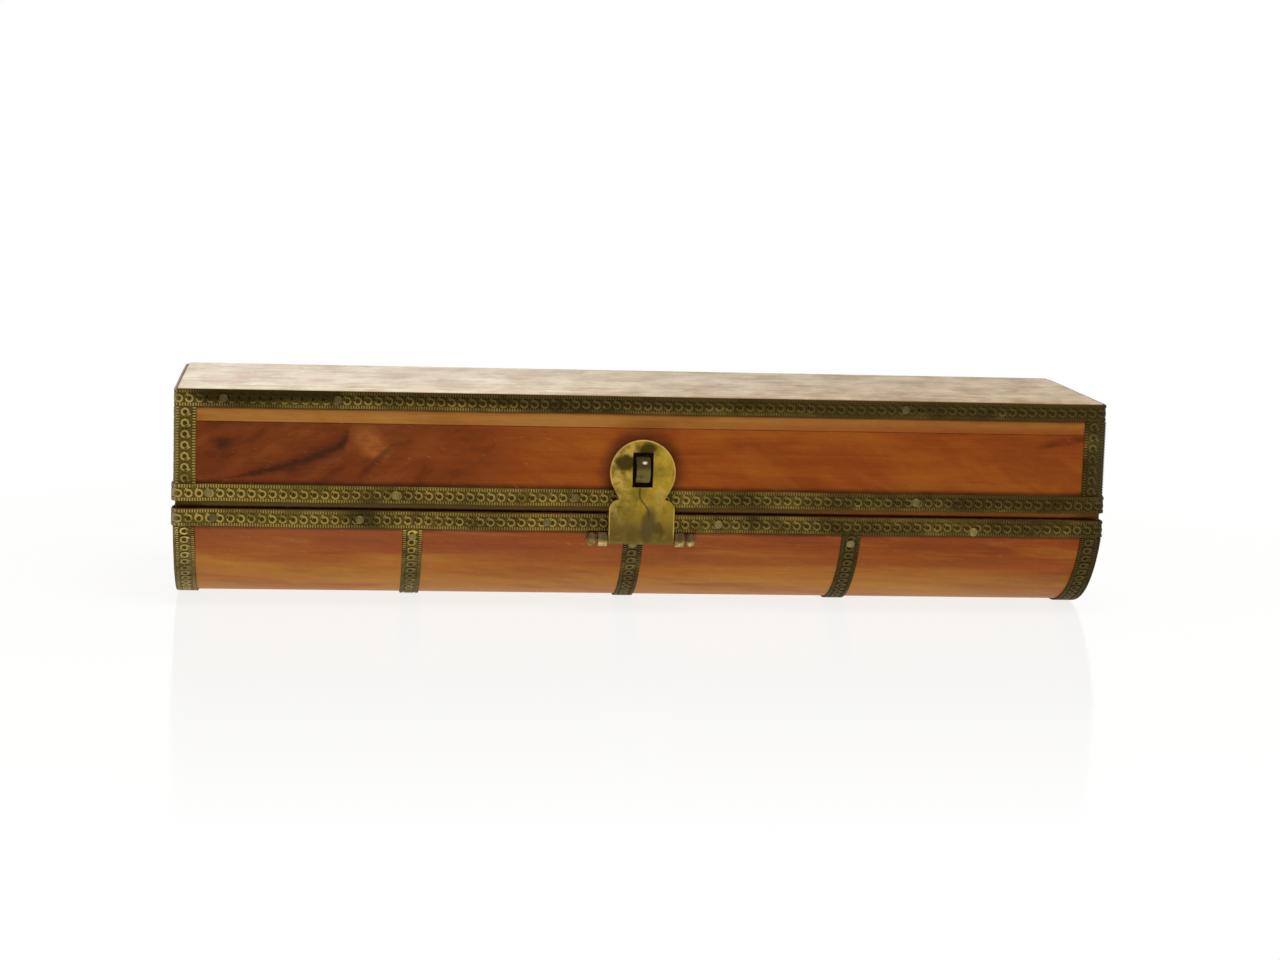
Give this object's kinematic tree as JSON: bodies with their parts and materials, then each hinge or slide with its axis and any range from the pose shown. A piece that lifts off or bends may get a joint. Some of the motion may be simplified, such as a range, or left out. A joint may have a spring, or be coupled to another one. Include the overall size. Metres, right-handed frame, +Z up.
{
  "type": "fountain pen case",
  "caption": "Long wooden pen case with a hinged barrel lid, stamped brass ribbon trim, and a hinged brass hasp that closes over a staple on the front.",
  "frame": {"origin": "middle of the base's underside, which is the face that the case stands on", "axes": "+X along the case's length, +Y from the hasp's side to the hinges, +Z up from the base to the lid's crown"},
  "size_m": [0.241, 0.0733, 0.057],
  "materials": {
    "wood": "varnished red-brown hardwood",
    "pale_wood": "varnished, paler and yellower board",
    "ribbon": "stamped ribbon, dark with tarnish",
    "nail": "domed heads, dull",
    "fittings": "dull, aged",
    "hasp_brass": "handled brass, brighter than the ribbon, with tarnish patches"
  },
  "bodies": {
    "base": {"base_floor": "pale_wood", "base_front_wall": "wood", "base_back_wall": "wood", "base_left_end": "wood", "base_right_end": "wood", "base_foot_band": "ribbon", "base_rim_band": "ribbon", "base_corner_front_left": "ribbon", "base_corner_front_right": "ribbon", "base_corner_back_left": "ribbon", "base_corner_back_right": "ribbon", "base_foot_nails": "nail", "base_rim_nails": "nail", "staple": "fittings", "base_hinge_leaf_left": "fittings", "base_hinge_leaf_right": "fittings", "hinge_pin_left": "fittings", "hinge_pin_right": "fittings", "base_hinge_nails": "nail"},
    "lid": {"lid_barrel_panel": "wood", "lid_left_end": "wood", "lid_right_end": "wood", "lid_rim_band": "ribbon", "lid_arch_left": "ribbon", "lid_arch_right": "ribbon", "lid_strap_left": "ribbon", "lid_strap_middle": "ribbon", "lid_strap_right": "ribbon", "lid_rim_nails": "nail", "lid_strap_nails": "nail", "lid_hinge_leaf_left": "fittings", "lid_hinge_leaf_right": "fittings", "lid_hinge_nails": "nail", "hasp_eyelet_left": "fittings", "hasp_eyelet_right": "fittings", "hasp_pin": "fittings"},
    "hasp": {"hasp_plate": "hasp_brass"}
  },
  "joints": [
    {"name": "lid_hinge", "type": "hinge", "parent": "base", "child": "lid", "pos_m": [0, 0.0346, 0.03055], "axis": [-1, 0, 0], "range_deg": [0, 180]},
    {"name": "hasp_hinge", "type": "hinge", "parent": "lid", "child": "hasp", "pos_m": [0.001, -0.03349, 0.0371], "axis": [-1, 0, 0], "range_deg": [0, 200]}
  ]
}
